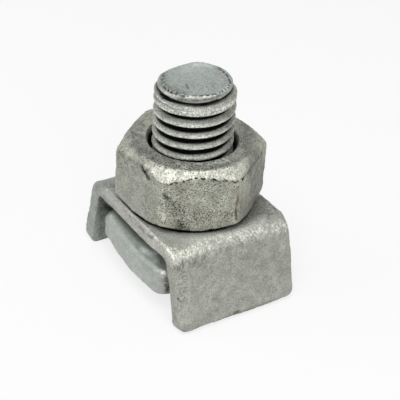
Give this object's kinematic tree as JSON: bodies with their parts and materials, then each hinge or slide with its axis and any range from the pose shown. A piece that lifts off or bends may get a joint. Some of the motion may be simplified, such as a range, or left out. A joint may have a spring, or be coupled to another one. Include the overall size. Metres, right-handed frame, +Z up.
{
  "type": "saddle bolt clamp",
  "caption": "Galvanised clamp: a folded channel saddle with splayed legs, a square-head bolt held captive between them, and a hexagon nut.",
  "frame": {"origin": "on the bolt's axis, on the plane of the saddle's leg tips", "axes": "+Z up along the bolt from its head to its chamfered end, X across the channel from leg to leg, Y along the channel"},
  "size_m": [0.028, 0.0204, 0.0317],
  "materials": {
    "galvanised_plate": "hot-dip galvanised, fine mottled grain",
    "galvanised_bolt": "hot-dip galvanised, smooth and slightly blue-grey",
    "galvanised_nut": "hot-dip galvanised, dull with dark specks"
  },
  "bodies": {
    "saddle": {"saddle": "galvanised_plate"},
    "nut": {"nut": "galvanised_nut"},
    "bolt": {"bolt": "galvanised_bolt"}
  },
  "joints": [
    {"name": "nut_turn", "type": "hinge", "parent": "saddle", "child": "nut", "pos_m": [0, 0, 0.0123], "axis": [0, 0, 1], "range_deg": [-535, 1955]},
    {"name": "bolt_slide", "type": "slide", "parent": "saddle", "child": "bolt", "axis": [0, 0, 1], "range_m": [-0.0095, 0.0026]}
  ],
  "couplings": [
    {"joint": "nut_turn", "follows": "bolt_slide", "rad_per_m": -3590.4}
  ]
}
